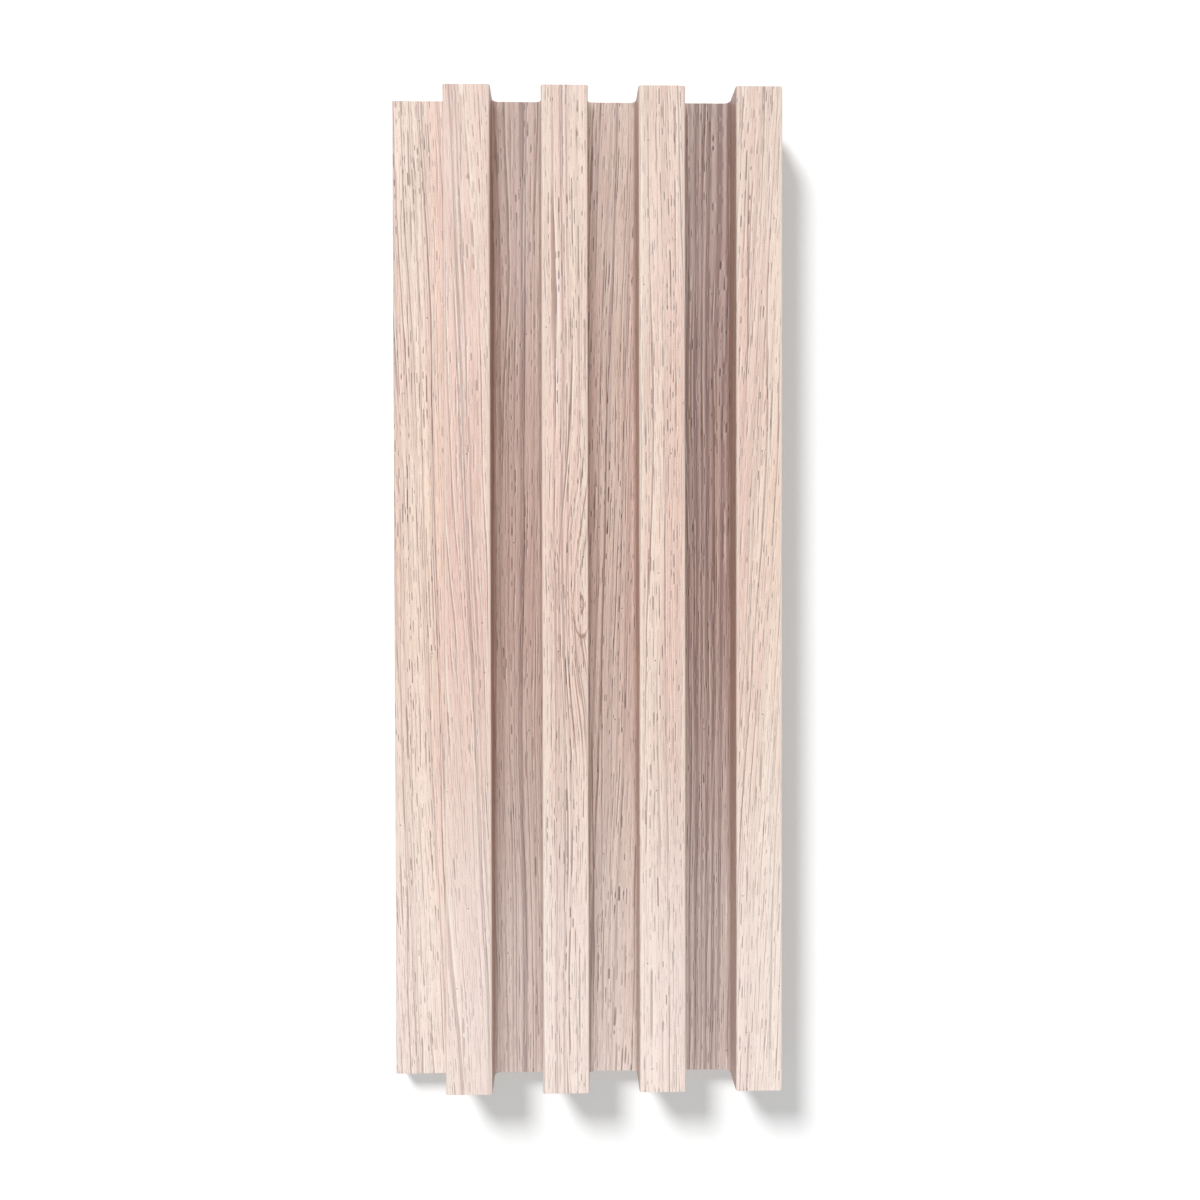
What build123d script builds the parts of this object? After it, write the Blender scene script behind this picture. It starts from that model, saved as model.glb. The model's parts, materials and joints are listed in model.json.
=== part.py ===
from build123d import *
import os

# Fluted wall panel: one extruded wood-plastic profile, saw-cut to a short length. Sizes in millimetres.
# X runs across the flutes, Y along them and Z out from the wall. The origin is the middle of the back.

# Face of the panel
panel_length = 408.0
rib_count = 4
rib_width = 19.0
rib_height = 15.0
groove_width = 20.4
floor_thickness = 9.0

# Lap joint: the end rib of one panel covers the edge of the next panel's flange
lap_cover = 2.4
lap_side_clearance = 0.4
lap_height_clearance = 0.3

# Open channels along the back, one behind each rib
channel_side_wall = 5.5
channel_crown_wall = 7.0

# Rounded corners of the profile
crest_radius = 1.2
groove_corner_radius = 2.4
flange_edge_radius = 0.8
channel_corner_radius = 2.0
channel_mouth_radius = 0.6
lap_corner_radius = 0.5

# A rounding never takes more than this share of the wall or gap that it lies in
largest_round_share = 0.45
# Two corners closer than this are the same corner
same_corner = 0.01

# Sizes that follow from those above
pitch = rib_width + groove_width
flange_width = groove_width + lap_cover
panel_width = flange_width + rib_count * pitch - groove_width
panel_thickness = floor_thickness + rib_height
channel_width = rib_width - 2 * channel_side_wall
channel_depth = panel_thickness - channel_crown_wall
lap_depth = lap_cover + lap_side_clearance
lap_height = floor_thickness + lap_height_clearance

# Places across the panel
left_edge = -panel_width / 2
right_edge = panel_width / 2
rib_middles = [left_edge + flange_width + rib_width / 2 + n * pitch for n in range(rib_count)]
flanks = [x + side * rib_width / 2 for x in rib_middles for side in (-1, 1)]
channel_sides = [x + side * channel_width / 2 for x in rib_middles for side in (-1, 1)]
lap_wall = right_edge - lap_depth


def upright(left, right, bottom, top):
    """A rectangle of the section, given by its sides."""
    return Pos((left + right) / 2, (bottom + top) / 2) * Rectangle(right - left, top - bottom)


def rounded(section, radius, room, height, places):
    """The section with its corners at one height and at these places across the panel rounded."""
    chosen = [
        corner
        for corner in section.vertices()
        if abs(corner.Y - height) < same_corner
        and any(abs(corner.X - place) < same_corner for place in places)
    ]
    return fillet(chosen, min(radius, room * largest_round_share))


def ribbed_front():
    """The flange and groove floors as one strip, with the ribs standing on it."""
    section = upright(left_edge, right_edge, 0, floor_thickness)
    for x in rib_middles:
        section += upright(x - rib_width / 2, x + rib_width / 2, 0, panel_thickness)
    # The last rib's outer flank is the panel's own edge, so it has no groove corner.
    section = rounded(section, groove_corner_radius, groove_width, floor_thickness, flanks[:-1])
    section = rounded(section, crest_radius, rib_width, panel_thickness, flanks)
    return rounded(section, flange_edge_radius, floor_thickness, floor_thickness, [left_edge])


def with_back_channels(section):
    """The section hollowed from the back behind each rib, which keeps the walls even."""
    for x in rib_middles:
        section -= upright(x - channel_width / 2, x + channel_width / 2, 0, channel_depth)
    section = rounded(section, channel_corner_radius, channel_width, channel_depth, channel_sides)
    return rounded(section, channel_mouth_radius, channel_side_wall, 0, channel_sides)


def with_lap_rebate(section):
    """The section cut away under the end rib's outer edge, where the next panel's flange goes in."""
    section -= upright(lap_wall, right_edge, 0, lap_height)
    section = rounded(section, lap_corner_radius, lap_depth, lap_height, [lap_wall])
    return rounded(section, lap_corner_radius, lap_depth, lap_height, [right_edge])


def fluted_panel():
    """The whole profile, drawn across the panel and extruded both ways along the flutes."""
    section = with_lap_rebate(with_back_channels(ribbed_front()))
    return extrude(Plane.XZ * section, amount=panel_length / 2, both=True)


os.makedirs("parts", exist_ok=True)
export_step(fluted_panel(), "parts/fluted_panel.step")
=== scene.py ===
import json
import math
import bpy
import numpy as np
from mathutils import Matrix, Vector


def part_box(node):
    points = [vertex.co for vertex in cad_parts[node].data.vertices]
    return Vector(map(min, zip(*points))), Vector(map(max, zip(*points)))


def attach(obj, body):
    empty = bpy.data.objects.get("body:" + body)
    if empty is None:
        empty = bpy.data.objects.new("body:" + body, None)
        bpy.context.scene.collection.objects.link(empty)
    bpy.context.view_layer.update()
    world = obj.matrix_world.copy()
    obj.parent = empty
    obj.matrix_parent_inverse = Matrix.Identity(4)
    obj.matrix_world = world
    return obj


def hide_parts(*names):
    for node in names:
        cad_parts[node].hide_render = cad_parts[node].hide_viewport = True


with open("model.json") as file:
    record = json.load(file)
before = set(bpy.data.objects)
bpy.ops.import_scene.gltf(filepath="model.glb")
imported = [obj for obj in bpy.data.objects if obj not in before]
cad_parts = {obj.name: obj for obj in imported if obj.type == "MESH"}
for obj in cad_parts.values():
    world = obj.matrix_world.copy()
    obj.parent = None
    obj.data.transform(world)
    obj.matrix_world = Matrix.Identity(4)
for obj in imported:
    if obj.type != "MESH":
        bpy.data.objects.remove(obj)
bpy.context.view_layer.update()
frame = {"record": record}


# Extruded body
# The panel's core of wood flour and plastic, pressed through a die as one long section and sawn to length.
# Its bare back lies on the wall, with an open channel behind each rib and a rebate under the end rib's edge,
# where the next panel's flange goes in. The front is sunk by the thickness of the film that is glued on it.
mm = 0.001
panel_low, panel_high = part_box("fluted_panel")
mount_places = {mount["name"]: mount["pos_m"] for mount in frame["record"]["mounts"]}
panel_length = panel_high.y - panel_low.y
left_edge = panel_low.x
right_edge = panel_high.x
back_height = panel_low.z
crest_height = panel_high.z
floor_height = mount_places["fixing_flange"][2]
lap_height = mount_places["lap_lip"][2]
rib_count = 4
rib_width = 19.0 * mm
groove_width = 20.4 * mm
lap_depth = 2.8 * mm
channel_width = 8.0 * mm
channel_depth = 17.0 * mm
crest_radius = 1.2 * mm
groove_corner_radius = 2.4 * mm
flange_edge_radius = 0.8 * mm
channel_corner_radius = 2.0 * mm
channel_mouth_radius = 0.6 * mm
lap_corner_radius = 0.5 * mm
film_thickness = 0.22 * mm
glue_line = 0.02 * mm
film_foot = 1.5 * mm
film_turn_in = 1.5 * mm
body_arc_steps = 7
body_rows = 24

rib_pitch = rib_width + groove_width
rib_lefts = [right_edge - rib_width - (rib_count - 1 - n) * rib_pitch for n in range(rib_count)]
lap_wall = right_edge - lap_depth


def way(start, end):
    """The unit direction from one corner to another."""
    run = (end[0] - start[0], end[1] - start[1])
    length = math.hypot(*run)
    return run[0] / length, run[1] / length


def inset(corners, depth):
    """A line of square corners moved into the panel, which lies on the right of the line's way."""
    ways = [way(start, end) for start, end in zip(corners, corners[1:])]
    moved = []
    for n, (x, z, radius) in enumerate(corners):
        beside = ways[max(n - 1, 0):n + 1]
        if radius:
            turn = beside[0][0] * beside[1][1] - beside[0][1] * beside[1][0]
            radius += turn * depth
        to_right = depth * sum(run[1] for run in beside)
        down = depth * sum(run[0] for run in beside)
        moved.append((x + to_right, z - down, radius))
    return moved


def rounded_line(corners, arc_steps):
    """Points along a line of square corners, with an arc at each corner that has a radius."""
    points = []
    for n, (x, z, radius) in enumerate(corners):
        if not radius:
            points.append((x, z))
            continue
        to_last = way(corners[n], corners[n - 1])
        to_next = way(corners[n], corners[n + 1])
        for step in range(arc_steps + 1):
            angle = step / arc_steps * math.pi / 2
            from_last = radius * (1 - math.sin(angle))
            from_next = radius * (1 - math.cos(angle))
            points.append((x + to_last[0] * from_last + to_next[0] * from_next,
                           z + to_last[1] * from_last + to_next[1] * from_next))
    return points


def front_corners():
    """The face that the film covers, from the flange's foot over the ribs and round the lap lip."""
    corners = [(left_edge, film_foot, 0), (left_edge, floor_height, flange_edge_radius)]
    for rib_left in rib_lefts:
        rib_right = rib_left + rib_width
        corners += [(rib_left, floor_height, groove_corner_radius), (rib_left, crest_height, crest_radius)]
        corners += [(rib_right, crest_height, crest_radius), (rib_right, floor_height, groove_corner_radius)]
    corners[-1] = (right_edge, lap_height, lap_corner_radius)
    return corners + [(right_edge - film_turn_in, lap_height, 0)]


def back_corners():
    """The bare faces, from the lap lip along the channelled back to the flange's foot."""
    corners = [(right_edge - film_turn_in, lap_height, 0), (lap_wall, lap_height, lap_corner_radius)]
    corners.append((lap_wall, back_height, 0))
    for rib_left in reversed(rib_lefts):
        channel_left = rib_left + (rib_width - channel_width) / 2
        channel_right = channel_left + channel_width
        corners += [(channel_right, back_height, channel_mouth_radius)]
        corners += [(channel_right, channel_depth, channel_corner_radius)]
        corners += [(channel_left, channel_depth, channel_corner_radius)]
        corners += [(channel_left, back_height, channel_mouth_radius)]
    return corners + [(left_edge, back_height, 0), (left_edge, film_foot, 0)]


def section_loop(name, points, marks):
    """A closed loop of edges for the sweep, with Z drawn downwards, and the marks that its points carry."""
    mesh = bpy.data.meshes.new(name)
    edges = [(n, (n + 1) % len(points)) for n in range(len(points))]
    mesh.from_pydata([(x, -z, 0) for x, z in points], edges, [])
    for mark, values in marks.items():
        mesh.attributes.new(mark, "FLOAT", "POINT").data.foreach_set("value", values)
    loop = bpy.data.objects.new(name, mesh)
    bpy.context.scene.collection.objects.link(loop)
    return loop


def feed(tree, value, socket):
    """Links an output to a socket, or sets the socket to a plain value."""
    if isinstance(value, bpy.types.NodeSocket):
        tree.links.new(value, socket)
    else:
        socket.default_value = value


def add_node(tree, kind, inputs=None, **settings):
    """A new node of this kind with its settings, and its inputs linked or set by name or number."""
    node = tree.nodes.new(kind)
    for setting, value in settings.items():
        setattr(node, setting, value)
    for name, value in (inputs or {}).items():
        feed(tree, value, node.inputs[name])
    return node


def calc(tree, operation, *terms):
    """The output of a Math node that works on these terms."""
    node = add_node(tree, "ShaderNodeMath", operation=operation)
    for socket, term in zip(node.inputs, terms):
        feed(tree, term, socket)
    return node.outputs[0]


def product(tree, *terms):
    """Values multiplied together."""
    result = terms[0]
    for term in terms[1:]:
        result = calc(tree, "MULTIPLY", result, term)
    return result


def eased(tree, value, low, high, result_low=0.0, result_high=1.0):
    """A value taken smoothly from one range to another."""
    limits = {"Value": value, "From Min": low, "From Max": high, "To Min": result_low, "To Max": result_high}
    return add_node(tree, "ShaderNodeMapRange", limits, interpolation_type="SMOOTHSTEP").outputs["Result"]


def vector_of(tree, x=0.0, y=0.0, z=0.0):
    """The three values as one vector."""
    return add_node(tree, "ShaderNodeCombineXYZ", {"X": x, "Y": y, "Z": z}).outputs["Vector"]


def cloud(tree, place, detail=1.0):
    """Soft flat noise from 0 to 1 with lumps about one unit wide."""
    settings = {"Vector": place, "Scale": 1.0, "Detail": detail, "Roughness": 0.5}
    return add_node(tree, "ShaderNodeTexNoise", settings, noise_dimensions="2D").outputs[0]


def drawn_out(tree, across, along, width, length, seed):
    """A flat place measured in a width and a length, moved by a seed to a part of the noise of its own."""
    return vector_of(tree, calc(tree, "ADD", calc(tree, "DIVIDE", across, width), seed),
                     calc(tree, "ADD", calc(tree, "DIVIDE", along, length), seed))


# What the sweep adds to a section: the lumps of the fray and how far its two ends lie apart in the noise, the
# roller's waves, and how squarely a face has to look along the flutes to be a sawn one.
fray_lump = 1.1 * mm
fray_detail = 3.0
fray_end_step = 0.1
wave_width = 4.5 * mm
wave_length = 60.0 * mm
wave_detail = 2.0
wave_levels = (0.35, 0.65)
sawn_facing = 0.7


def sweep_tree():
    """Sweeps a section along the flutes, presses waves into its marked face and frays its sawn ends."""
    tree = bpy.data.node_groups.new("sweep along the flutes", "GeometryNodeTree")
    tree.interface.new_socket("Geometry", in_out="OUTPUT", socket_type="NodeSocketGeometry")
    kinds = {"Section": "Object", "Length": "Float", "Rows": "Int", "Wave Depth": "Float", "Fray": "Float",
             "Fray Reach": "Float", "Seed": "Float", "Side Finish": "Material", "Sawn Finish": "Material"}
    for name, kind in kinds.items():
        tree.interface.new_socket(name, in_out="INPUT", socket_type="NodeSocket" + kind)
    given = tree.nodes.new("NodeGroupInput").outputs

    section = add_node(tree, "GeometryNodeObjectInfo", {"Object": given["Section"]})
    loop = add_node(tree, "GeometryNodeMeshToCurve", {"Mesh": section.outputs["Geometry"]})
    half = calc(tree, "DIVIDE", given["Length"], 2.0)
    ends = {"Start": vector_of(tree, y=calc(tree, "MULTIPLY", half, -1.0)), "End": vector_of(tree, y=half)}
    path = add_node(tree, "GeometryNodeCurvePrimitiveLine", ends).outputs["Curve"]
    rows = add_node(tree, "GeometryNodeResampleCurve", {"Curve": path, "Count": given["Rows"]})
    parts = {"Curve": rows.outputs["Curve"], "Profile Curve": loop.outputs["Curve"], "Fill Caps": True}
    swept = add_node(tree, "GeometryNodeCurveToMesh", parts)

    place = tree.nodes.new("GeometryNodeInputPosition").outputs["Position"]
    along = add_node(tree, "ShaderNodeSeparateXYZ", {"Vector": place}).outputs["Y"]
    normal = tree.nodes.new("GeometryNodeInputNormal").outputs["Normal"]
    marks = {}
    for mark in ("across", "face"):
        marks[mark] = add_node(tree, "GeometryNodeInputNamedAttribute", {"Name": mark}).outputs["Attribute"]

    # Fray: the edge wanders a little at both ends.
    side = calc(tree, "SIGN", along)
    fray_start = calc(tree, "SUBTRACT", half, given["Fray Reach"])
    near_end = eased(tree, calc(tree, "ABSOLUTE", along), fray_start, half)
    fray_place = drawn_out(tree, marks["across"], side, fray_lump, fray_end_step, given["Seed"])
    cut_back = product(tree, cloud(tree, fray_place, fray_detail), given["Fray"], near_end, side, -1.0)

    # Waves: the roller leaves shallow hollows drawn out along the grain, always below the outer face.
    wave_place = drawn_out(tree, marks["across"], along, wave_width, wave_length, given["Seed"])
    wave = eased(tree, cloud(tree, wave_place, wave_detail), *wave_levels)
    sink = product(tree, wave, marks["face"], given["Wave Depth"], -1.0)
    inward = add_node(tree, "ShaderNodeVectorMath", {0: normal, "Scale": sink}, operation="SCALE")
    shift = add_node(tree, "ShaderNodeVectorMath", {0: inward.outputs[0], 1: vector_of(tree, y=cut_back)})
    moved = add_node(tree, "GeometryNodeSetPosition",
                     {"Geometry": swept.outputs["Mesh"], "Offset": shift.outputs[0]})

    facing = add_node(tree, "ShaderNodeSeparateXYZ", {"Vector": normal}).outputs["Y"]
    sawn_faces = calc(tree, "GREATER_THAN", calc(tree, "ABSOLUTE", facing), sawn_facing)
    whole = add_node(tree, "GeometryNodeRealizeInstances", {"Geometry": moved.outputs["Geometry"]})
    sides = add_node(tree, "GeometryNodeSetMaterial",
                     {"Geometry": whole.outputs["Geometry"], "Material": given["Side Finish"]})
    finished = add_node(tree, "GeometryNodeSetMaterial",
                        {"Geometry": sides.outputs["Geometry"], "Selection": sawn_faces,
                         "Material": given["Sawn Finish"]})
    tree.links.new(finished.outputs["Geometry"], tree.nodes.new("NodeGroupOutput").inputs["Geometry"])
    return tree


sweep = sweep_tree()
crease_angle = math.radians(35)


def swept_piece(name, loop, sizes):
    """A plain mesh object swept from a loop, whose sizes and finishes are the tree's named inputs."""
    piece = bpy.data.objects.new(name, bpy.data.meshes.new(name))
    bpy.context.scene.collection.objects.link(piece)
    modifier = piece.modifiers.new("sweep", "NODES")
    modifier.node_group = sweep
    sockets = {item.name: item.identifier for item in sweep.interface.items_tree if item.in_out == "INPUT"}
    modifier[sockets["Section"]] = loop
    for size, value in sizes.items():
        modifier[sockets[size]] = value
    seen = bpy.context.evaluated_depsgraph_get()
    swept = piece.evaluated_get(seen)
    mesh = bpy.data.meshes.new_from_object(swept, preserve_all_data_layers=True, depsgraph=seen)
    piece.modifiers.remove(modifier)
    piece.data = mesh
    mesh.name = name
    mesh.shade_smooth()
    mesh.set_sharp_from_angle(angle=crease_angle)
    bpy.data.objects.remove(loop)
    return piece


def colour(code):
    """A hex colour as the linear values that a socket takes, by the usual screen formula."""
    parts = [int(code[n:n + 2], 16) / 255 for n in (1, 3, 5)]
    return tuple(p / 12.92 if p <= 0.04045 else ((p + 0.055) / 1.055) ** 2.4 for p in parts) + (1.0,)


def blend(tree, amount, first, second, kind="MIX"):
    """Two colours mixed by an amount."""
    inputs = {0: amount, 6: first, 7: second}
    return add_node(tree, "ShaderNodeMix", inputs, data_type="RGBA", blend_type=kind).outputs[2]


def cover(tree, below, amount, share, above):
    """One colour laid over another where a mask is, by a share of the mask."""
    return blend(tree, calc(tree, "MULTIPLY", amount, share), below, above)


def strokes_group():
    """Strokes that lie along Y: a mask of streaks of a given width and length, for grain and die lines."""
    tree = bpy.data.node_groups.new("grain strokes", "ShaderNodeTree")
    tree.interface.new_socket("Place", in_out="INPUT", socket_type="NodeSocketVector")
    for name in ("Width", "Length", "Level", "Softness", "Seed"):
        tree.interface.new_socket(name, in_out="INPUT", socket_type="NodeSocketFloat")
    tree.interface.new_socket("Mask", in_out="OUTPUT", socket_type="NodeSocketFloat")
    given = tree.nodes.new("NodeGroupInput").outputs
    place = add_node(tree, "ShaderNodeSeparateXYZ", {"Vector": given["Place"]}).outputs
    stretched = drawn_out(tree, place["X"], place["Y"], given["Width"], given["Length"], given["Seed"])
    full_level = calc(tree, "ADD", given["Level"], given["Softness"])
    mask = eased(tree, cloud(tree, stretched), given["Level"], full_level)
    tree.links.new(mask, tree.nodes.new("NodeGroupOutput").inputs["Mask"])
    return tree


strokes_tree = strokes_group()


def strokes(tree, place, width, length, level, softness, seed):
    """The mask of one set of grain strokes, with sizes in millimetres."""
    values = {"Place": place, "Width": width, "Length": length, "Level": level, "Softness": softness,
              "Seed": seed}
    return add_node(tree, "ShaderNodeGroup", values, node_tree=strokes_tree).outputs["Mask"]


def new_finish(name):
    """An empty material with its shader, and the place on the object in millimetres."""
    finish = bpy.data.materials.new(name)
    finish.use_nodes = True
    tree = finish.node_tree
    place = add_node(tree, "ShaderNodeTexCoord").outputs["Object"]
    place = add_node(tree, "ShaderNodeVectorMath", {0: place, "Scale": 1 / mm}, operation="SCALE").outputs[0]
    split = add_node(tree, "ShaderNodeSeparateXYZ", {"Vector": place}).outputs
    return finish, tree, tree.nodes["Principled BSDF"], split


def raised(tree, shader, height_mm):
    """Gives a shader the relief of a height in millimetres."""
    bump = add_node(tree, "ShaderNodeBump", {"Height": height_mm, "Distance": mm, "Strength": 1.0})
    tree.links.new(bump.outputs["Normal"], shader.inputs["Normal"])


# The bare core's colours, and its strokes: width and length in millimetres, level, softness and seed.
fawn = colour("#dcc7ae")
pale_fawn = colour("#e7d7c4")
flour_brown = colour("#a48a69")
flour_cream = colour("#efe8da")
die_brown = colour("#bba98c")
die_strokes = (0.8, 420.0, 0.46, 0.20, 3.0)
fleck_strokes = (0.42, 2.6, 0.62, 0.10, 8.0)
pale_fleck_strokes = (0.5, 2.0, 0.64, 0.10, 14.0)
die_line_sink = -0.05
fleck_rise = 0.02


def die_pressed_finish():
    """The bare skin of the core: fawn, flecked with wood flour and lined by the die."""
    height_slant = 1.31
    blotch_sizes = (16.0, 70.0, 5.0)
    blotch_detail = 3.0
    blotch_levels = (0.3, 0.7)
    fleck_depth = 0.6
    pale_fleck_depth = 0.5
    die_line_depth = 0.25
    skin_roughness = 0.48
    die_line_roughness = 0.14
    finish, tree, shader, place = new_finish("die_pressed_core")
    girth = calc(tree, "MULTIPLY_ADD", place["Z"], height_slant, place["X"])
    sheet = vector_of(tree, girth, place["Y"])
    die_lines = strokes(tree, sheet, *die_strokes)
    flecks = strokes(tree, sheet, *fleck_strokes)
    pale_flecks = strokes(tree, sheet, *pale_fleck_strokes)
    blotch = cloud(tree, drawn_out(tree, girth, place["Y"], *blotch_sizes), blotch_detail)
    skin = blend(tree, eased(tree, blotch, *blotch_levels), fawn, pale_fawn)
    skin = cover(tree, skin, flecks, fleck_depth, flour_brown)
    skin = cover(tree, skin, pale_flecks, pale_fleck_depth, flour_cream)
    skin = cover(tree, skin, die_lines, die_line_depth, die_brown)
    tree.links.new(skin, shader.inputs["Base Color"])
    roughness = calc(tree, "MULTIPLY_ADD", die_lines, die_line_roughness, skin_roughness)
    tree.links.new(roughness, shader.inputs["Roughness"])
    height = calc(tree, "MULTIPLY", flecks, fleck_rise)
    raised(tree, shader, calc(tree, "MULTIPLY_ADD", die_lines, die_line_sink, height))
    return finish


# The sawn ends' colours and specks, and the saw blade's middle in millimetres across and up.
sawn_fawn = colour("#e8d6c2")
sawn_brown = colour("#b59678")
sawn_cream = colour("#f1ebe0")
blade_brown = colour("#ccb699")
end_speck_strokes = (0.45, 0.45, 0.60, 0.12, 21.0)
pale_end_speck_strokes = (0.6, 0.5, 0.62, 0.12, 27.0)
blade_middle = (-130.0, -210.0, 0.0)
blade_mark_rise = 0.12
end_speck_sink = -0.04


def sawn_finish():
    """The sawn ends of the core: paler, speckled and marked by the blade in shallow arcs."""
    mark_sizes = (0.7, 1.0, 2.0)
    mark_detail = 2.0
    mark_levels = (0.45, 0.75, 0.0, 0.3)
    mark_roughness = (0.3, 0.7, 0.62, 0.78)
    end_speck_depth = 0.5
    finish, tree, shader, place = new_finish("sawn_core")
    end_place = vector_of(tree, place["X"], place["Z"])
    specks = strokes(tree, end_place, *end_speck_strokes)
    pale_specks = strokes(tree, end_place, *pale_end_speck_strokes)
    from_blade = add_node(tree, "ShaderNodeVectorMath", {0: end_place, 1: blade_middle}, operation="DISTANCE")
    marks = cloud(tree, drawn_out(tree, from_blade.outputs["Value"], 0.0, *mark_sizes), mark_detail)
    face = cover(tree, sawn_fawn, specks, end_speck_depth, sawn_brown)
    face = cover(tree, face, pale_specks, end_speck_depth, sawn_cream)
    face = blend(tree, eased(tree, marks, *mark_levels), face, blade_brown)
    tree.links.new(face, shader.inputs["Base Color"])
    tree.links.new(eased(tree, marks, *mark_roughness), shader.inputs["Roughness"])
    height = calc(tree, "MULTIPLY", specks, end_speck_sink)
    raised(tree, shader, calc(tree, "MULTIPLY_ADD", marks, blade_mark_rise, height))
    return finish


die_pressed = die_pressed_finish()
sawn = sawn_finish()
body_points = rounded_line(inset(front_corners(), film_thickness + glue_line), body_arc_steps)
body_points += rounded_line(back_corners(), body_arc_steps)
extruded_body = swept_piece("extruded_body", section_loop("body section", body_points, {}), {
    "Length": panel_length, "Rows": body_rows, "Wave Depth": 0.0, "Fray": 0.0, "Fray Reach": mm, "Seed": 0.0,
    "Side Finish": die_pressed, "Sawn Finish": sawn})
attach(extruded_body, "root")
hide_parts("fluted_panel")


# Printed film
# A thin plastic film printed with pale oak grain, rolled hot on the extruded front and turned in under the
# lap lip. The roller presses the pores into it, and the saw has frayed its ends and whitened two places.
# Its colour also holds painted shade on the flanks and groove floors, and painted light on its edges and
# ends.
film_arc_steps = 8
film_inner_arc_steps = 2
film_pitch = 0.5 * mm
film_rows = 110
wave_depth = 0.06 * mm
fray_depth = 0.16 * mm
fray_reach = 12.0 * mm
film_seed = 6.0
same_place = 0.01 * mm
# How dark the painted shade is on each groove floor, from the flange's side, and on the flanks facing the
# flange, how upright a face is where the painted flank shade starts, and how fast a turning edge gets its
# painted highlight.
painted_floor_shade_depths = [0.74, 0.42, 1.0]
flange_facing_shade_depth = 0.5
flank_shade_start = 0.72
edge_highlight_gain = 4
# Where the saw has lifted and whitened the film at the far end: the middle across the panel and half the
# width, and in millimetres from the end, how far the white goes and how far it is full.
whitened_places = [(-49.6 * mm, 1.3 * mm), (63.8 * mm, 0.8 * mm)]
film_end = panel_high.y / mm
white_reach = 6.5
full_white_reach = 2.0


def divided(points, pitch):
    """The same line with its long runs divided, so that its points are about a pitch apart at most."""
    line = [points[0]]
    for (x0, z0), (x1, z1) in zip(points, points[1:]):
        count = max(1, round(math.hypot(x1 - x0, z1 - z0) / pitch))
        line += [(x0 + (x1 - x0) * n / count, z0 + (z1 - z0) * n / count) for n in range(1, count + 1)]
    return line


def girth_of(points):
    """How far along the line each of its points lies."""
    girth = [0.0]
    for (x0, z0), (x1, z1) in zip(points, points[1:]):
        girth.append(girth[-1] + math.hypot(x1 - x0, z1 - z0))
    return girth


outer_line = divided(rounded_line(front_corners(), film_arc_steps), film_pitch)
inner_line = rounded_line(inset(front_corners(), film_thickness), film_inner_arc_steps)
film_points = outer_line + inner_line[::-1]
outer_girth = girth_of(outer_line)
inner_girth = girth_of(inner_line)
film_girth = outer_girth[-1]


def whiteness_at(x, z):
    """How far the film is whitened at a point of its section."""
    if z < crest_height - crest_radius:
        return 0.0
    return max([0.0] + [1 - abs(x - middle) / half for middle, half in whitened_places])


def film_marks():
    """What each point is: girth, outer face, painted shade on flank and groove floor, painted highlight,
    whitened.
    """
    inner_scale = film_girth / inner_girth[-1]
    inner_blank = [0.0] * len(inner_line)
    flank, floor, rub = [], [], []
    first_groove = rib_lefts[0] + rib_width
    for n, (x, z) in enumerate(outer_line):
        before = outer_line[max(n - 1, 0)]
        after = outer_line[min(n + 1, len(outer_line) - 1)]
        rise = way(before, after)[1]
        upright = abs(rise)
        on_ribs = rib_lefts[0] - groove_corner_radius < x < right_edge - rib_width / 2
        low_down = z < (floor_height + crest_height) / 2
        # The flanks and groove floors carry painted shade, lighter on the flanks that face the flange.
        flank_shade_depth = flange_facing_shade_depth if rise > 0 else 1.0
        steep = max((upright - flank_shade_start) / (1 - flank_shade_start), 0.0)
        flank.append(steep * flank_shade_depth if on_ribs else 0.0)
        groove = min(int((x - first_groove) / rib_pitch), len(painted_floor_shade_depths) - 1)
        on_floor = on_ribs and low_down and x > first_groove
        floor.append((1 - steep) * painted_floor_shade_depths[groove] if on_floor else 0.0)
        # Edges that turn, above the groove corners, carry a painted highlight.
        turning = min(upright, 1 - upright) * edge_highlight_gain
        rub.append(min(turning, 1.0) if z > floor_height + groove_corner_radius else 0.0)
    return {
        "across": outer_girth + [girth * inner_scale for girth in inner_girth[::-1]],
        "face": [1.0] * len(outer_line) + inner_blank,
        "flank": flank + inner_blank,
        "floor": floor + inner_blank,
        "rub": rub + inner_blank,
        "white": [whiteness_at(x, z) for x, z in outer_line] + inner_blank,
    }


def flat_ends():
    """Where each flat face starts and ends along the girth: the flange, then rib and groove in turn."""
    ends = []
    edges = [left_edge + flange_edge_radius]
    for rib_left in rib_lefts:
        edges += [rib_left - groove_corner_radius, rib_left + crest_radius]
        edges += [rib_left + rib_width - crest_radius, rib_left + rib_width + groove_corner_radius]
    for n, (start, end) in enumerate(zip(edges[0:-1:2], edges[1::2])):
        height = crest_height if n % 2 else floor_height
        on_flat = [girth for girth, (x, z) in zip(outer_girth, outer_line)
                   if start - same_place <= x <= end + same_place and abs(z - height) < same_place]
        ends.append((on_flat[0], on_flat[-1]))
    return ends


flats = flat_ends()
flange, rib_1, groove_1, rib_2, groove_2, rib_3, groove_3, rib_4 = range(len(flats))

cream = colour("#fae5d3")
pink = colour("#f3cfc0")
mauve = colour("#9c7e7b")
late_brown = colour("#a07a6d")
pore_brown = colour("#6c4a3f")
# A pale colour for the painted highlight beside each grain line.
painted_lip_highlight = colour("#fff5ec")
# A pale colour for painted edge highlights and for the film where the saw whitened it.
highlight_and_lifted_white = colour("#fdeee2")
# A pale colour for painted light and sheen at both ends.
painted_sheen_white = colour("#f8efea")
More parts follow.
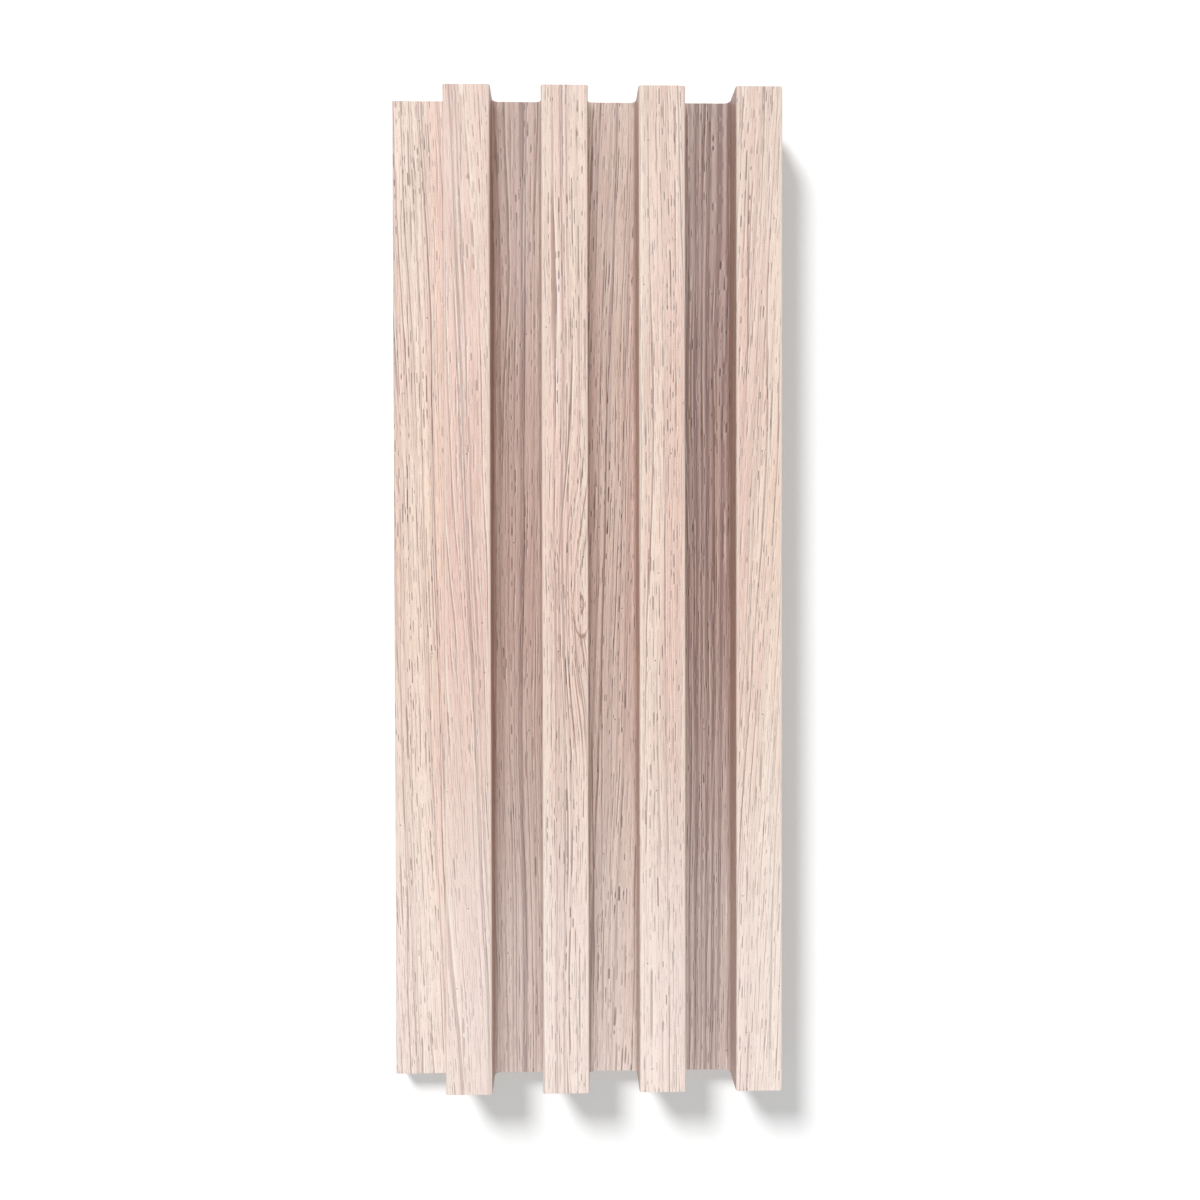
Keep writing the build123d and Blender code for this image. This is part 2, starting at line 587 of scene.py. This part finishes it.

# The print's broad stripes on each flat face: share of the way across it, how pink, how mauve, and how
# strongly the grain lines show. On the groove floors the mauve is partly print and partly painted shade.
print_stripes = {
    flange: [(0.0, 0.60, 0.02, 0.65), (0.28, 0.12, 0.00, 0.85),
             (0.72, 0.05, 0.00, 0.78), (1.0, 0.70, 0.03, 0.55)],
    rib_1: [(0.0, 0.90, 0.08, 0.50), (0.45, 0.95, 0.09, 0.50), (1.0, 0.85, 0.06, 0.55)],
    groove_1: [(0.0, 0.80, 0.26, 0.75), (0.50, 0.80, 0.26, 0.70), (1.0, 0.80, 0.22, 0.80)],
    rib_2: [(0.0, 0.45, 0.03, 0.60), (0.35, 0.75, 0.06, 0.85),
            (0.65, 0.60, 0.03, 0.90), (1.0, 0.50, 0.02, 0.70)],
    groove_2: [(0.0, 0.70, 0.26, 0.90), (0.30, 0.45, 0.20, 1.00),
               (0.70, 0.20, 0.13, 0.90), (1.0, 0.80, 0.20, 0.80)],
    rib_3: [(0.0, 0.25, 0.02, 0.60), (0.40, 0.45, 0.03, 0.70),
            (0.65, 0.85, 0.08, 0.75), (1.0, 0.80, 0.04, 0.60)],
    groove_3: [(0.0, 0.70, 0.36, 0.90), (0.30, 0.80, 0.40, 1.00),
               (0.70, 0.80, 0.38, 1.00), (1.0, 0.80, 0.32, 0.80)],
    rib_4: [(0.0, 0.85, 0.06, 0.70), (0.30, 0.50, 0.02, 0.75),
            (0.65, 0.15, 0.00, 0.65), (1.0, 0.10, 0.00, 0.55)],
}
# Single mauve streaks on each face: share of the way across it, half the width in millimetres, and depth.
mauve_streaks = {
    flange: [(0.05, 0.7, 0.40), (0.68, 0.5, 0.50), (0.93, 0.7, 0.60)],
    rib_1: [(0.58, 0.9, 0.60), (0.72, 0.5, 0.50)],
    groove_1: [(0.08, 0.6, 0.40), (0.28, 0.6, 0.45), (0.44, 0.5, 0.40),
               (0.63, 1.5, 0.80), (0.67, 0.8, 1.00), (0.94, 0.6, 0.45)],
    rib_2: [(0.26, 0.5, 0.45), (0.46, 0.6, 0.55), (0.60, 0.5, 0.35)],
    groove_2: [(0.04, 0.7, 0.35), (0.22, 0.9, 0.75), (0.74, 0.5, 0.45), (0.90, 0.5, 0.45)],
    rib_3: [(0.55, 0.6, 0.30)],
    groove_3: [(0.04, 0.8, 0.80), (0.24, 1.5, 1.00), (0.41, 0.7, 0.90),
               (0.56, 1.2, 1.00), (0.75, 1.1, 1.00), (0.94, 1.1, 0.90)],
    rib_4: [(0.32, 0.6, 0.25)],
}
streak_core = 0.4
# How far the grain leans on each face, as millimetres to the right for each one towards the near end.
grain_leans = {flange: 0.035, rib_1: 0.045, groove_1: 0.0, rib_2: 0.0, groove_2: -0.036, rib_3: 0.01,
               groove_3: 0.0, rib_4: -0.05}
largest_lean = 0.1
# How the lines wander, each as a width, a length and a reach across in millimetres, and a seed.
grain_wander = [(40.0, 230.0, 3.0, 1.7), (8.0, 85.0, 1.4, 4.2), (2.2, 16.0, 0.3, 6.3)]
# A pin knot on the second rib, with a hooked line below it and the grain bowed out beside it, in millimetres.
knot_from_edge = 15.0
knot_across = flats[rib_2][0] / mm + knot_from_edge
knot_along = -5.0
knot_half_width = 0.55
knot_half_length = 3.4
hook_half_width = 3.6
hook_half_length = 13.0
bow_depth = 7.0
bow_half_length = 45.0
bow_left_reach = 15.0
bow_right_start = 2.0
bow_right_end = 9.0
# How the knot's outline shakes, as a soft patch, the edges of the knot and its hook in shares of their own
# half sizes, the depth of their ink, and where the bowed grain comes up.
knot_shake = (1.4, 2.6, 5.8)
knot_fill_edge = (1.1, 0.7)
knot_fill_depth = 0.3
knot_rim_edge = (0.5, 0.0)
knot_rim_depth = 0.75
hook_edge = (0.10, 0.03)
hook_depth = 0.8
eye_edge = (0.85, 1.10)
bow_edge = (0.05, 0.30)
# Dark specks in the print, in millimetres, with the share of them that is fully dark and their depth.
speck_spacing = 34.0
speck_radius = 0.42
speck_core = 0.4
speck_depth = 0.8
speck_seed = 1.9
# Soft patches in the print: each a width and a length in millimetres and a seed, then the noise from which
# and to which it comes up and, where it is more than a mask, what it gives there.
tone_patch = (6.0, 160.0, 7.1)
pink_levels = (0.48, 0.75)
cream_levels = (0.52, 0.30)
tone_depth = 0.45
streak_patch = (3.0, 70.0, 9.4)
streak_levels = (0.30, 0.55, 0.75, 1.0)
pore_patch = (5.0, 45.0, 12.6)
pore_levels = (0.35, 0.65, 0.4, 1.0)
dot_patch = (0.3, 0.7, 3.3)
dot_levels = (0.4, 0.7)
dot_depth = 0.14
sheen_patch = (14.0, 60.0, 2.0)
film_roughness = (0.3, 0.7, 0.42, 0.54)
noise_middle = 0.5
# Broad faint streaks, as strokes.
broad_streaks = (2.6, 240.0, 0.45, 0.20, 11.0)
broad_streak_depth = 0.4
# Painted light and sheen that pale both ends, the ground first and then all of the print: where along the
# panel it starts and is full, in millimetres, and how far it goes.
near_painted_light = (10.0, -170.0, 0.0, 0.45)
far_painted_light = (70.0, 190.0, 0.0, 0.10)
near_painted_sheen = (10.0, -190.0, 0.0, 0.13)
far_painted_sheen = (60.0, 180.0, 0.0, 0.06)
# Painted shade multiplying the print on flanks and groove floors, and how far painted highlight and whitening
# go.
painted_flank_shade = (0.60, 0.46, 0.41, 1.0)
painted_floor_shade = (0.70, 0.66, 0.65, 1.0)
edge_highlight_depth = 0.45
white_levels = (0.1, 0.5)
white_depth = 0.85
# The sets of grain lines: spacing, line width and length in millimetres, the noise above which they show, a
# seed and the depth of the ink. Then their painted highlights, and how far they sink into the film in
# millimetres.
growth_lines = (4.3, 0.66, 150.0, 0.42, 17.3, 1.00)
grain_lines = (2.0, 0.52, 26.0, 0.48, 23.7, 1.00)
pore_lines = (1.05, 0.48, 7.0, 0.50, 31.9, 1.00)
fibre_lines = (0.66, 0.36, 10.0, 0.42, 43.1, 0.38)
bowed_lines = (2.6, 0.62, 55.0, 0.34, 57.9, 0.80)
lip_highlight_depth = 0.8
pore_highlight_share = 0.6
growth_sink = -0.10
grain_sink = -0.08
pore_sink = -0.07
pore_roughness = 0.2


def set_stops(ramp, stops):
    """Gives a colour ramp these stops, each a place from 0 to 1 and a colour."""
    elements = ramp.color_ramp.elements
    elements[0].position, elements[1].position = stops[0][0], stops[-1][0]
    for place, tint in stops[1:-1]:
        elements.new(place)
    for element, (place, tint) in zip(elements, stops):
        element.color = tint


def mixed(first, second, share):
    """Two linear colours mixed by a share."""
    return tuple(a + (b - a) * share for a, b in zip(first, second))


def stripe_ramp(tree, girth_share):
    """A ramp of the print's broad stripes, with how strongly the lines show in its alpha."""
    ramp = add_node(tree, "ShaderNodeValToRGB", {"Fac": girth_share})
    stops = []
    for face, stripes in print_stripes.items():
        start, end = flats[face]
        for share, pinkness, mauveness, lined in stripes:
            tint = mixed(mixed(cream, pink, pinkness), mauve, mauveness)
            stops.append(((start + (end - start) * share) / film_girth, tint[:3] + (lined,)))
    set_stops(ramp, stops)
    return ramp.outputs["Color"], ramp.outputs["Alpha"]


def lean_ramp(tree, girth_share):
    """How far the grain leans at each place across the film."""
    upright_level = 0.5
    ramp = add_node(tree, "ShaderNodeValToRGB", {"Fac": girth_share})
    stops = []
    for face, lean in grain_leans.items():
        level = upright_level + lean / largest_lean / 2
        stops.append((sum(flats[face]) / 2 / film_girth, (level, level, level, 1.0)))
    set_stops(ramp, stops)
    level = add_node(tree, "ShaderNodeSeparateColor", {"Color": ramp.outputs["Color"]}).outputs["Red"]
    return calc(tree, "MULTIPLY", calc(tree, "SUBTRACT", level, upright_level), 2 * largest_lean)


def lines_group():
    """Grain lines along Y, evenly spaced but wandering, each broken up on its own and beside a painted
    highlight.
    """
    wander_breadth = 6.0
    wander_length = 260.0
    wander_turns = 3.0
    line_middle = 0.35
    own_step = 2.37
    own_stretch = 2.5
    own_ink_levels = (0.3, 0.65, 0.4, 1.0)
    fade = 0.12
    thin_end = 0.45
    edge_share = 0.6
    core_share = 0.3
    highlight_width = 0.6
    tree = bpy.data.node_groups.new("grain lines", "ShaderNodeTree")
    tree.interface.new_socket("Place", in_out="INPUT", socket_type="NodeSocketVector")
    for name in ("Spacing", "Line Width", "Length", "Level", "Seed"):
        tree.interface.new_socket(name, in_out="INPUT", socket_type="NodeSocketFloat")
    for name in ("Line", "Lip"):
        tree.interface.new_socket(name, in_out="OUTPUT", socket_type="NodeSocketFloat")
    given = tree.nodes.new("NodeGroupInput").outputs
    place = add_node(tree, "ShaderNodeSeparateXYZ", {"Vector": given["Place"]}).outputs

    breadth = calc(tree, "MULTIPLY", given["Spacing"], wander_breadth)
    drift = cloud(tree, drawn_out(tree, place["X"], place["Y"], breadth, wander_length, given["Seed"]))
    even_turns = calc(tree, "DIVIDE", place["X"], given["Spacing"])
    turns = calc(tree, "MULTIPLY_ADD", drift, wander_turns, even_turns)
    off_middle = calc(tree, "SUBTRACT", calc(tree, "FRACT", turns), line_middle)
    off_middle = calc(tree, "MULTIPLY", off_middle, given["Spacing"])

    own_place = calc(tree, "MULTIPLY", calc(tree, "FLOOR", turns), own_step)
    run = cloud(tree, drawn_out(tree, own_place, place["Y"], 1.0, given["Length"], given["Seed"]))
    shown = eased(tree, run, given["Level"], calc(tree, "ADD", given["Level"], fade))
    own_length = calc(tree, "MULTIPLY", given["Length"], own_stretch)
    own_ink = cloud(tree, drawn_out(tree, place["Y"], own_place, own_length, own_step, given["Seed"]))
    shown = calc(tree, "MULTIPLY", shown, eased(tree, own_ink, *own_ink_levels))

    width = calc(tree, "MULTIPLY", given["Line Width"], eased(tree, shown, 0.0, 1.0, thin_end, 1.0))
    edge = calc(tree, "MULTIPLY", width, edge_share)
    core = calc(tree, "MULTIPLY", width, core_share)
    line = eased(tree, calc(tree, "ABSOLUTE", off_middle), edge, core)
    # On one side of each line lies a painted highlight.
    highlight_end = calc(tree, "ADD", edge, highlight_width)
    lip = calc(tree, "SUBTRACT", eased(tree, off_middle, core, edge), eased(tree, off_middle, edge, highlight_end))
    result = tree.nodes.new("NodeGroupOutput")
    tree.links.new(calc(tree, "MULTIPLY", line, shown), result.inputs["Line"])
    tree.links.new(calc(tree, "MULTIPLY", lip, shown), result.inputs["Lip"])
    return tree


lines_tree = lines_group()


def lines(tree, place, spacing, line_width, length, level, seed):
    """One set of grain lines and their painted highlights, with sizes in millimetres."""
    values = {"Place": place, "Spacing": spacing, "Line Width": line_width, "Length": length, "Level": level,
              "Seed": seed}
    node = add_node(tree, "ShaderNodeGroup", values, node_tree=lines_tree)
    return node.outputs["Line"], node.outputs["Lip"]


def patch(tree, across, along, sizes, detail=1.0):
    """Soft noise in patches of a width and a length in millimetres, with a seed."""
    return cloud(tree, drawn_out(tree, across, along, *sizes), detail)


def flow_across(tree, across, along, bowed_across):
    """The place across the print once its lines lean, wander slowly and shake a little along their length."""
    lean = lean_ramp(tree, calc(tree, "DIVIDE", across, film_girth / mm))
    flowing = calc(tree, "MULTIPLY", lean, along)
    for width, length, reach, seed in grain_wander:
        bend = patch(tree, across, along, (width, length, seed), detail=0.0)
        flowing = calc(tree, "MULTIPLY_ADD", calc(tree, "SUBTRACT", bend, noise_middle), reach, flowing)
    return calc(tree, "ADD", flowing, across), calc(tree, "ADD", flowing, bowed_across)


def bowed(tree, across, from_knot, past_knot):
    """The place across the print once its lines bow out to the left beside the knot, and where they do."""
    run = calc(tree, "DIVIDE", past_knot, bow_half_length)
    bow = calc(tree, "EXPONENT", product(tree, run, run, -1.0))
    left_share = eased(tree, from_knot, -bow_left_reach, 0.0)
    right_share = eased(tree, from_knot, bow_right_end, bow_right_start)
    share = product(tree, bow, left_share, right_share)
    return calc(tree, "MULTIPLY_ADD", share, bow_depth, across), share


def round_knot(tree, from_knot, past_knot, half_width, half_length):
    """How far out from the knot a place lies, where 1 is a ring of this half width and half length."""
    out_across = calc(tree, "DIVIDE", from_knot, half_width)
    out_along = calc(tree, "DIVIDE", past_knot, half_length)
    squares = calc(tree, "ADD", product(tree, out_across, out_across), product(tree, out_along, out_along))
    return calc(tree, "SQRT", squares)


def streak_mask(tree, flowing, along):
    """Single streaks along the grain that come and go."""
    mask = 0.0
    for face, streaks in mauve_streaks.items():
        start, end = flats[face]
        for share, half_width, depth in streaks:
            middle = (start + (end - start) * share) / mm
            off = calc(tree, "ABSOLUTE", calc(tree, "SUBTRACT", flowing, middle))
            streak = eased(tree, off, half_width, streak_core * half_width, 0.0, depth)
            mask = calc(tree, "MAXIMUM", mask, streak)
    return product(tree, mask, eased(tree, patch(tree, flowing, along, streak_patch), *streak_levels))


def mark(tree, name):
    """A mark that the film's points carry."""
    return add_node(tree, "ShaderNodeAttribute", attribute_name=name).outputs["Fac"]


def ground_print(tree, across, along, flowing, sheet):
    """The print under the lines: stripes, patches, streaks, painted light at both ends, and how strongly
    lines show.
    """
    # Stripes follow the faces more than the lines do, so they take only half of the lines' lean and wander.
    stripe_place = calc(tree, "DIVIDE", calc(tree, "ADD", across, flowing), 2.0)
    ink, lined = stripe_ramp(tree, calc(tree, "DIVIDE", stripe_place, film_girth / mm))
    tone = patch(tree, flowing, along, tone_patch)
    ink = cover(tree, ink, eased(tree, tone, *pink_levels), tone_depth, pink)
    ink = cover(tree, ink, eased(tree, tone, *cream_levels), tone_depth, cream)
    streaks = strokes(tree, sheet, *broad_streaks)
    ink = cover(tree, ink, product(tree, streaks, lined, lined), broad_streak_depth, mauve)
    # Painted light pales the ground towards both ends.
    painted_light = calc(tree, "ADD", eased(tree, along, *near_painted_light), eased(tree, along, *far_painted_light))
    ink = blend(tree, painted_light, ink, painted_sheen_white)
    return blend(tree, streak_mask(tree, flowing, along), ink, mauve), lined


def knot_print(tree, ink, knot_round, hook_round, past_knot):
    """The pin knot, darkest round its rim, and the hooked line that closes below it."""
    ink = cover(tree, ink, eased(tree, knot_round, *knot_fill_edge), knot_fill_depth, late_brown)
    off_rim = calc(tree, "ABSOLUTE", calc(tree, "SUBTRACT", knot_round, 1.0))
    ink = cover(tree, ink, eased(tree, off_rim, *knot_rim_edge), knot_rim_depth, pore_brown)
    off_hook = calc(tree, "ABSOLUTE", calc(tree, "SUBTRACT", hook_round, 1.0))
    hook = product(tree, eased(tree, off_hook, *hook_edge), eased(tree, past_knot, hook_half_length, 0.0))
    return cover(tree, ink, hook, hook_depth, late_brown)


def dotted_print(tree, ink, across, along):
    """Fine dots of ink all over, and a few dark specks."""
    dots = patch(tree, across, along, dot_patch)
    ink = cover(tree, ink, eased(tree, dots, *dot_levels), dot_depth, late_brown)
    speck_place = drawn_out(tree, across, along, speck_spacing, speck_spacing, speck_seed)
    speck_off = add_node(tree, "ShaderNodeTexVoronoi", {"Vector": speck_place, "Scale": 1.0},
                         voronoi_dimensions="2D").outputs["Distance"]
    speck_off = calc(tree, "MULTIPLY", speck_off, speck_spacing)
    specks = eased(tree, speck_off, speck_radius, speck_core * speck_radius)
    return cover(tree, ink, specks, speck_depth, pore_brown)


def shaded_print(tree, ink, along):
    """Adds painted shade to flanks and groove floors, painted light to both ends and edges, and whitens the
    film.
    """
    # Painted shade: the print multiplied darker on flanks and groove floors.
    for name, shade in (("flank", painted_flank_shade), ("floor", painted_floor_shade)):
        ink = blend(tree, mark(tree, name), ink, blend(tree, 1.0, ink, shade, "MULTIPLY"))
    # Painted sheen pales all of the print towards both ends.
    painted_sheen = calc(tree, "ADD", eased(tree, along, *near_painted_sheen), eased(tree, along, *far_painted_sheen))
    ink = blend(tree, painted_sheen, ink, painted_sheen_white)
    # A painted highlight on the edges that turn.
    ink = cover(tree, ink, mark(tree, "rub"), edge_highlight_depth, highlight_and_lifted_white)
    near_saw = eased(tree, along, film_end - white_reach, film_end - full_white_reach)
    lifted = calc(tree, "MULTIPLY", mark(tree, "white"), near_saw)
    return cover(tree, ink, eased(tree, lifted, *white_levels), white_depth, highlight_and_lifted_white)


def printed_grain_finish():
    """The film's matt print: its ground, grain lines with painted highlights, a knot, and short pressed
    pores.
    """
    finish, tree, shader, place = new_finish("printed_grain")
    across = calc(tree, "DIVIDE", mark(tree, "across"), mm)
    along = place["Y"]
    from_knot = calc(tree, "SUBTRACT", across, knot_across)
    past_knot = calc(tree, "SUBTRACT", along, knot_along)
    bowed_across, beside_knot = bowed(tree, across, from_knot, past_knot)
    plain_flow, bowed_flow = flow_across(tree, across, along, bowed_across)
    plain_sheet = vector_of(tree, plain_flow, along)
    bowed_sheet = vector_of(tree, bowed_flow, along)
    shake = calc(tree, "SUBTRACT", patch(tree, across, along, knot_shake), noise_middle)
    from_knot = calc(tree, "ADD", from_knot, shake)
    knot_round = round_knot(tree, from_knot, past_knot, knot_half_width, knot_half_length)
    hook_round = round_knot(tree, from_knot, past_knot, hook_half_width, hook_half_length)
    outside_eye = eased(tree, hook_round, *eye_edge)
    ink, lined = ground_print(tree, across, along, plain_flow, bowed_sheet)

    # Lines show more on some faces than on others, and none of the longer ones cross the eye of the knot.
    *growth_sizes, growth_depth = growth_lines
    *grain_sizes, grain_depth = grain_lines
    *pore_sizes, pore_depth = pore_lines
    *fibre_sizes, fibre_depth = fibre_lines
    *bowed_sizes, bowed_depth = bowed_lines
    growth, growth_highlight = lines(tree, bowed_sheet, *growth_sizes)
    grain, grain_highlight = lines(tree, bowed_sheet, *grain_sizes)
    pores, pore_highlight = lines(tree, plain_sheet, *pore_sizes)
    fibres = lines(tree, plain_sheet, *fibre_sizes)[0]
    bowed_grain = lines(tree, bowed_sheet, *bowed_sizes)[0]
    growth = product(tree, growth, lined, outside_eye)
    grain = product(tree, grain, lined, outside_eye)
    patchy = eased(tree, patch(tree, plain_flow, along, pore_patch), *pore_levels)
    pores = product(tree, pores, patchy, lined)
    bowed_grain = product(tree, bowed_grain, eased(tree, beside_knot, *bow_edge), outside_eye)
    # The pale lips are painted highlights beside the lines.
    painted_highlights = product(tree, calc(tree, "MAXIMUM", growth_highlight, grain_highlight), outside_eye)
    painted_highlights = calc(tree, "MAXIMUM", painted_highlights, calc(tree, "MULTIPLY", pore_highlight, pore_highlight_share))
    ink = cover(tree, ink, fibres, fibre_depth, late_brown)
    ink = cover(tree, ink, painted_highlights, lip_highlight_depth, painted_lip_highlight)
    ink = cover(tree, ink, grain, grain_depth, late_brown)
    ink = cover(tree, ink, growth, growth_depth, late_brown)
    ink = cover(tree, ink, bowed_grain, bowed_depth, late_brown)
    ink = cover(tree, ink, pores, pore_depth, pore_brown)
    ink = knot_print(tree, ink, knot_round, hook_round, past_knot)
    ink = dotted_print(tree, ink, across, along)
    tree.links.new(shaded_print(tree, ink, along), shader.inputs["Base Color"])

    sheen = eased(tree, patch(tree, across, along, sheen_patch), *film_roughness)
    roughness = calc(tree, "MULTIPLY_ADD", pores, pore_roughness, sheen)
    tree.links.new(roughness, shader.inputs["Roughness"])
    height = calc(tree, "MULTIPLY", pores, pore_sink)
    height = calc(tree, "MULTIPLY_ADD", growth, growth_sink, height)
    raised(tree, shader, calc(tree, "MULTIPLY_ADD", grain, grain_sink, height))
    return finish


printed_grain = printed_grain_finish()
printed_film = swept_piece("printed_film", section_loop("film section", film_points, film_marks()), {
    "Length": panel_length, "Rows": film_rows, "Wave Depth": wave_depth, "Fray": fray_depth,
    "Fray Reach": fray_reach, "Seed": film_seed, "Side Finish": printed_grain, "Sawn Finish": die_pressed})


def unroll(piece):
    """Lays the film out flat as its own map: the outer face fills most of it, and the rest is a strip."""
    outer_share = 0.96
    strip_start = 0.97
    face_level = 0.5
    side_corners = 4
    mesh = piece.data
    values = {}
    for name in ("across", "face"):
        values[name] = np.empty(len(mesh.vertices), dtype=np.float32)
        mesh.attributes[name].data.foreach_get("value", values[name])
    places = np.empty(len(mesh.vertices) * 3, dtype=np.float32)
    mesh.vertices.foreach_get("co", places)
    along = (places[1::3] + panel_length / 2) / panel_length
    across = values["across"] / film_girth
    layer = mesh.uv_layers.new(name="OFBake")
    for polygon in mesh.polygons:
        vertices = list(polygon.vertices)
        is_side = len(vertices) == side_corners
        outside = is_side and values["face"][vertices].min() > face_level
        start, width = (0.0, outer_share) if outside else (strip_start, 1 - strip_start)
        for corner, vertex in zip(polygon.loop_indices, vertices):
            layer.data[corner].uv = (float(start + across[vertex] * width), float(along[vertex]))


unroll(printed_film)
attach(printed_film, "root")
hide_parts("fluted_panel")


# Studio
# The panel lies on its back on a plain white floor under a soft white sky. A broad lamp overhead lights its
# face, a wide one past the near end gives it a low sheen, and one at the far left throws its shadow.
floor_size = 6.0
floor_drop = 0.2 * mm
floor_glow = 0.15
floor_grey = (0.75, 0.75, 0.75, 1.0)
sky_strength = 0.40
white = (1.0, 1.0, 1.0, 1.0)


def seen_directly(tree):
    """1 for what the camera sees, straight or in a gloss or through glass, and 0 for light on the object."""
    path = add_node(tree, "ShaderNodeLightPath").outputs
    return calc(tree, "MAXIMUM", path["Is Camera Ray"],
                calc(tree, "MAXIMUM", path["Is Glossy Ray"], path["Is Transmission Ray"]))


def studio_floor():
    """A large white floor just under the panel's back, greyer for the light that it throws back."""
    half = floor_size / 2
    mesh = bpy.data.meshes.new("studio_floor")
    corners = [(-half, -half), (half, -half), (half, half), (-half, half)]
    mesh.from_pydata([(x, y, -floor_drop) for x, y in corners], [], [range(len(corners))])
    finish = bpy.data.materials.new("white_floor")
    finish.use_nodes = True
    tree = finish.node_tree
    shader = tree.nodes["Principled BSDF"]
    shader.inputs["Roughness"].default_value = 1.0
    shader.inputs["Specular IOR Level"].default_value = 0.0
    seen = seen_directly(tree)
    tree.links.new(blend(tree, seen, floor_grey, white), shader.inputs["Base Color"])
    shader.inputs["Emission Color"].default_value = white
    tree.links.new(calc(tree, "MULTIPLY", seen, floor_glow), shader.inputs["Emission Strength"])
    mesh.materials.append(finish)
    floor = bpy.data.objects.new("studio_floor", mesh)
    bpy.context.scene.collection.objects.link(floor)
    return floor


floor = studio_floor()

world = bpy.data.worlds.new("soft_sky")
world.use_nodes = True
bpy.context.scene.world = world
sky = world.node_tree.nodes["Background"]
sky.inputs["Color"].default_value = white
sky_seen = seen_directly(world.node_tree)
sky_light = eased(world.node_tree, sky_seen, 0.0, 1.0, sky_strength, 1.0)
world.node_tree.links.new(sky_light, sky.inputs["Strength"])


def aimed(lamp, way_to_lamp):
    """Turns a lamp so that its light comes from a direction."""
    x, y, z = way_to_lamp
    lamp.rotation_euler = (math.atan2(math.hypot(x, y), z), 0.0, math.atan2(y, x) + math.pi / 2)
    bpy.context.scene.collection.objects.link(lamp)


def lights_only(lamp, pieces):
    """Keeps a lamp's light to these objects."""
    receivers = bpy.data.collections.new(lamp.name + "_receivers")
    for piece in pieces:
        receivers.objects.link(piece)
    lamp.light_linking.receiver_collection = receivers


def far_lamp(name, strength, spread, way_to_lamp, lit):
    """A lamp as far away as the sun, softened by its spread in degrees, for these objects only."""
    data = bpy.data.lights.new(name, "SUN")
    data.energy = strength
    data.angle = math.radians(spread)
    lamp = bpy.data.objects.new(name, data)
    aimed(lamp, way_to_lamp)
    lights_only(lamp, lit)


panel_pieces = [extruded_body, printed_film]
face_strength = 1.55
face_spread = 25
way_to_face_lamp = (-0.18, 0.35, 1.0)
far_lamp("face_lamp", face_strength, face_spread, way_to_face_lamp, panel_pieces)

shadow_strength = 3.0
shadow_spread = 15
way_to_shadow_lamp = (-0.72, 1.30, 1.0)
far_lamp("shadow_lamp", shadow_strength, shadow_spread, way_to_shadow_lamp, [floor])

sheen_size = 0.4
sheen_power = 2.2
sheen_place = (0.05, -0.75, 1.0)
way_to_sheen_lamp = (0.05, -0.6, 1.0)
sheen_data = bpy.data.lights.new("sheen_lamp", "AREA")
sheen_data.size = sheen_size
sheen_data.energy = sheen_power
sheen_lamp = bpy.data.objects.new("sheen_lamp", sheen_data)
sheen_lamp.location = sheen_place
aimed(sheen_lamp, way_to_sheen_lamp)
lights_only(sheen_lamp, panel_pieces)


# Camera
# It looks almost straight down on the panel from close by, so that the flanks of the ribs open to both sides.
camera_data = bpy.data.cameras.new("camera")
camera_data.lens = 27.0
camera_data.sensor_width = 36.0
camera_data.shift_x = 0.0160
camera_data.shift_y = -0.0510
camera_data.clip_start = 0.01
camera = bpy.data.objects.new("camera", camera_data)
camera.location = (-0.00931, 0.02546, 0.38732)
camera.rotation_mode = "ZYX"
camera.rotation_euler = (-0.0108, -0.0202, -0.0022)
bpy.context.scene.collection.objects.link(camera)
bpy.context.scene.camera = camera
bpy.context.scene.view_settings.view_transform = "Standard"
